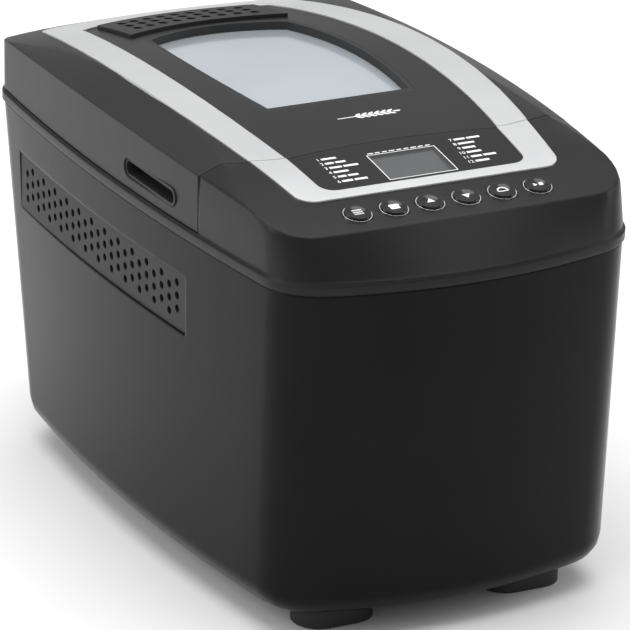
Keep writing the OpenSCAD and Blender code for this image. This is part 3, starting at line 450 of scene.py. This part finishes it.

# %% [markdown]
# ## The display
# The liquid-crystal screen sits behind its lens. A thin light line is printed round it, and a row of small
# marks above it names what it shows. The lens itself stays plain grey while the machine is off.

# %% Frame line and small marks of the display
lens_low, lens_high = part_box("lcd_lens")
lx, ly0, ly1 = lens_high[0], lens_low[1], lens_high[1]
border = bmesh.new()
for x in (-lx - 0.3 * MM, lx + 0.3 * MM):
    add_bar(border, x, (ly0 + ly1) / 2, 0.45 * MM, ly1 - ly0 + 1.0 * MM)
for y in (ly0 - 0.3 * MM, ly1 + 0.3 * MM):
    add_bar(border, 0, y, 2 * lx + 1.0 * MM, 0.45 * MM)
for k in range(9):
    add_bar(border, (-16 + 4 * k) * MM, ly1 + 1.9 * MM, (2.6 if k % 3 else 3.1) * MM, 0.8 * MM)
print_mark("display_marks", border, on_dome, 0.11 * MM, "base")

# %% [markdown]
# ## Signs on the buttons
# Each button has its own sign: a list for the menu, a loaf for its size, two arrows for the time, a rounded
# slice for the crust, and the usual start and stop. They lie in the dished top of the cap, so each point is
# raised by the dish's own curve, and each plate moves with its button.

# %% Draw the six signs
DISH_R, DISH_LOW = 30 * MM, 1.22 * MM


def in_dish(centre):
    def place(p):
        r2 = (p.x - centre) ** 2 + p.y ** 2
        return on_row(Vector((p.x, p.y, p.z + DISH_LOW + r2 / (2 * DISH_R))))
    return place


def sign_menu(bm, x):
    for k in (-1, 0, 1):
        add_bar(bm, x, 1.7 * k * MM, 5.2 * MM, 0.75 * MM)


def sign_loaf(bm, x):
    add_bar(bm, x, -0.9 * MM, 5.0 * MM, 2.6 * MM)
    add_disc(bm, x - 1.2 * MM, 0.9 * MM, 3.4 * MM, 2.4 * MM)
    add_disc(bm, x + 1.2 * MM, 0.9 * MM, 3.4 * MM, 2.4 * MM)


def sign_up(bm, x):
    add_disc(bm, x, 0, 5.2 * MM, 4.6 * MM, 3, 0)


def sign_down(bm, x):
    add_disc(bm, x, 0, 5.2 * MM, 4.6 * MM, 3, math.pi)


def sign_crust(bm, x):
    add_arc(bm, x, -0.6 * MM, 2.6 * MM, 0.8 * MM, 0.0, math.pi)
    add_bar(bm, x, -1.2 * MM, 6.0 * MM, 0.8 * MM)


def sign_start(bm, x):
    add_disc(bm, x - 1.7 * MM, 0, 3.2 * MM, 3.2 * MM, 3, -math.pi / 2)
    add_bar(bm, x + 1.7 * MM, 0, 2.2 * MM, 2.4 * MM)


SIGNS = {"menu_button": sign_menu, "loaf_button": sign_loaf, "time_up_button": sign_up,
         "time_down_button": sign_down, "crust_button": sign_crust, "start_button": sign_start}
for node, draw in SIGNS.items():
    low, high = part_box(node)
    x = (low[0] + high[0]) / 2
    bm = bmesh.new()
    draw(bm, x)
    print_mark(node + "_sign", bm, in_dish(x), 0.0, body_of(frame["nodes"][node])[0], thick=0.08 * MM)
print("signs:", ", ".join(SIGNS))

# %% [markdown]
# ## A wheat ear on the lid
# The maker's place on the lid is taken by an ear of wheat: a stem with pairs of grains leaning forwards. Each
# grain is a stretched disc, and the ear is printed like the other marks. It rides with the lid.

# %% Draw the wheat ear
ear = bmesh.new()
EAR_X, EAR_Y = 4 * MM, DOME_Y - 70.5 * MM
GRAIN, GRAIN_SIDES, GRAIN_LEAN = (4.2 * MM, 1.5 * MM), 14, 0.5
add_bar(ear, EAR_X - 2 * MM, EAR_Y, 30 * MM, 0.7 * MM)
for k in range(6):
    for side in (-1, 1):
        x, y = EAR_X + (-5 + 3.6 * k) * MM, EAR_Y + 1.5 * side * MM
        add_disc(ear, x, y, *GRAIN, GRAIN_SIDES, side * GRAIN_LEAN)
add_disc(ear, EAR_X + 16.2 * MM, EAR_Y, 4.4 * MM, 1.5 * MM, GRAIN_SIDES)
print_mark("wheat_ear", ear, on_dome, 0.02 * MM, "lid")

# %% [markdown]
# ## The studio
# The machine stands on a pale, matt floor that runs out of sight. A broad soft light hangs above, a
# softbox stands at the left, and a weak one at the right lifts the far edge. Because black gloss shows
# mostly what it mirrors, the bright floor does most of the lighting of the walls.

# %% Floor and lights
bm = bmesh.new()
bmesh.ops.create_grid(bm, x_segments=8, y_segments=8, size=12.0)
floor_mesh = bpy.data.meshes.new("floor")
bm.to_mesh(floor_mesh)
bm.free()
floor = bpy.data.objects.new("floor", floor_mesh)
bpy.context.scene.collection.objects.link(floor)
floor_mesh.materials.append(finish("studio_floor", (0.90, 0.90, 0.90), (0.92, 0.92, 0.92), 0.9, 0.01, 60,
                                   spec=0.1))
floor.location.z = -0.0004


def softbox(name, place, aim, width, height, watts):
    light = bpy.data.lights.new(name, "AREA")
    light.shape, light.size, light.size_y, light.energy = "RECTANGLE", width, height, watts
    ob = bpy.data.objects.new(name, light)
    ob.location = place
    ob.rotation_euler = (Vector(aim) - Vector(place)).to_track_quat("-Z", "Y").to_euler()
    bpy.context.scene.collection.objects.link(ob)
    return ob


softbox("top_softbox", (0.0, 0.1, 2.3), (0, 0, 0), 2.6, 2.6, 52)
softbox("left_softbox", (-1.9, 0.5, 1.2), (0, 0, 0.15), 1.2, 1.4, 16)
softbox("right_softbox", (1.7, -0.6, 0.9), (0, 0, 0.15), 0.8, 1.0, 6)
world = bpy.data.worlds.new("studio")
bpy.context.scene.world = world
world.use_nodes = True
world.node_tree.nodes["Background"].inputs["Color"].default_value = (1, 1, 1, 1)
world.node_tree.nodes["Background"].inputs["Strength"].default_value = 0.55
bpy.context.scene.view_settings.view_transform = "Standard"

# %% [markdown]
# ## The camera
# The camera stands about 2.8 m away, to the left of the front and 21 degrees above the floor, with a long
# lens, so that the edges hardly converge. Its place and turn come from lining up the outline of the
# machine with the same corners in the view.

# %% Camera
yaw, pitch, roll = 0.47412, 0.35970, 0.01582
ahead = Vector((math.sin(yaw) * math.cos(pitch), math.cos(yaw) * math.cos(pitch), -math.sin(pitch)))
right = Vector((math.cos(yaw), -math.sin(yaw), 0))
above = right.cross(ahead)
right_r = math.cos(roll) * right + math.sin(roll) * above
above_r = -math.sin(roll) * right + math.cos(roll) * above
lens = bpy.data.cameras.new("camera")
lens.lens, lens.sensor_width, lens.clip_end = 308.67, 36, 60
camera = bpy.data.objects.new("camera", lens)
bpy.context.scene.collection.objects.link(camera)
camera.matrix_world = Matrix((
    (right_r.x, above_r.x, -ahead.x, -1.19091),
    (right_r.y, above_r.y, -ahead.y, -2.34618),
    (right_r.z, above_r.z, -ahead.z, 1.08964),
    (0, 0, 0, 1)))
bpy.context.scene.camera = camera
